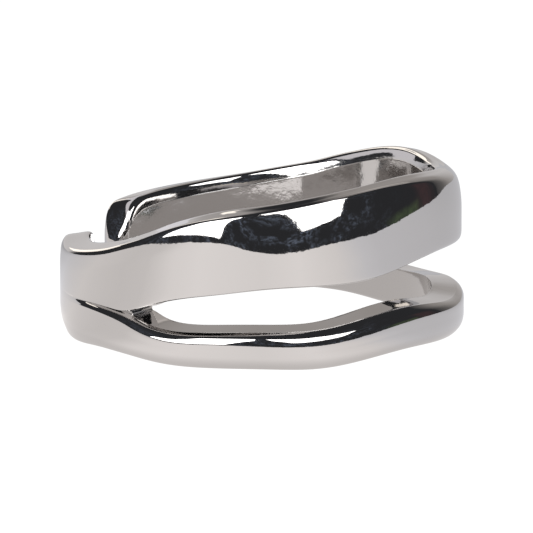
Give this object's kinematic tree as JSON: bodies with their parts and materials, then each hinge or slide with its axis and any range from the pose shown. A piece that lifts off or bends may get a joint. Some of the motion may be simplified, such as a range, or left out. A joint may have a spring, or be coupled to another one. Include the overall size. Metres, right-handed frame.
{
  "type": "open cuff ring",
  "caption": "Polished open finger ring whose wide band splits into an upper and a lower band round the front, with rounded free ends.",
  "frame": {"origin": "on the finger axis, in the plane that the ring lies on", "axes": "+Z along the finger axis, up; -Y towards the middle of the split face; +Y towards the opening between the ends; the ring lies on its side as it would rest on a table"},
  "size_m": [0.0206, 0.0204, 0.009],
  "materials": {
    "polished_silver": "mirror-polished bright plating over silver, faintly wavy from casting"
  },
  "bodies": {
    "root": {"cuff_band": "polished_silver"}
  },
  "joints": []
}
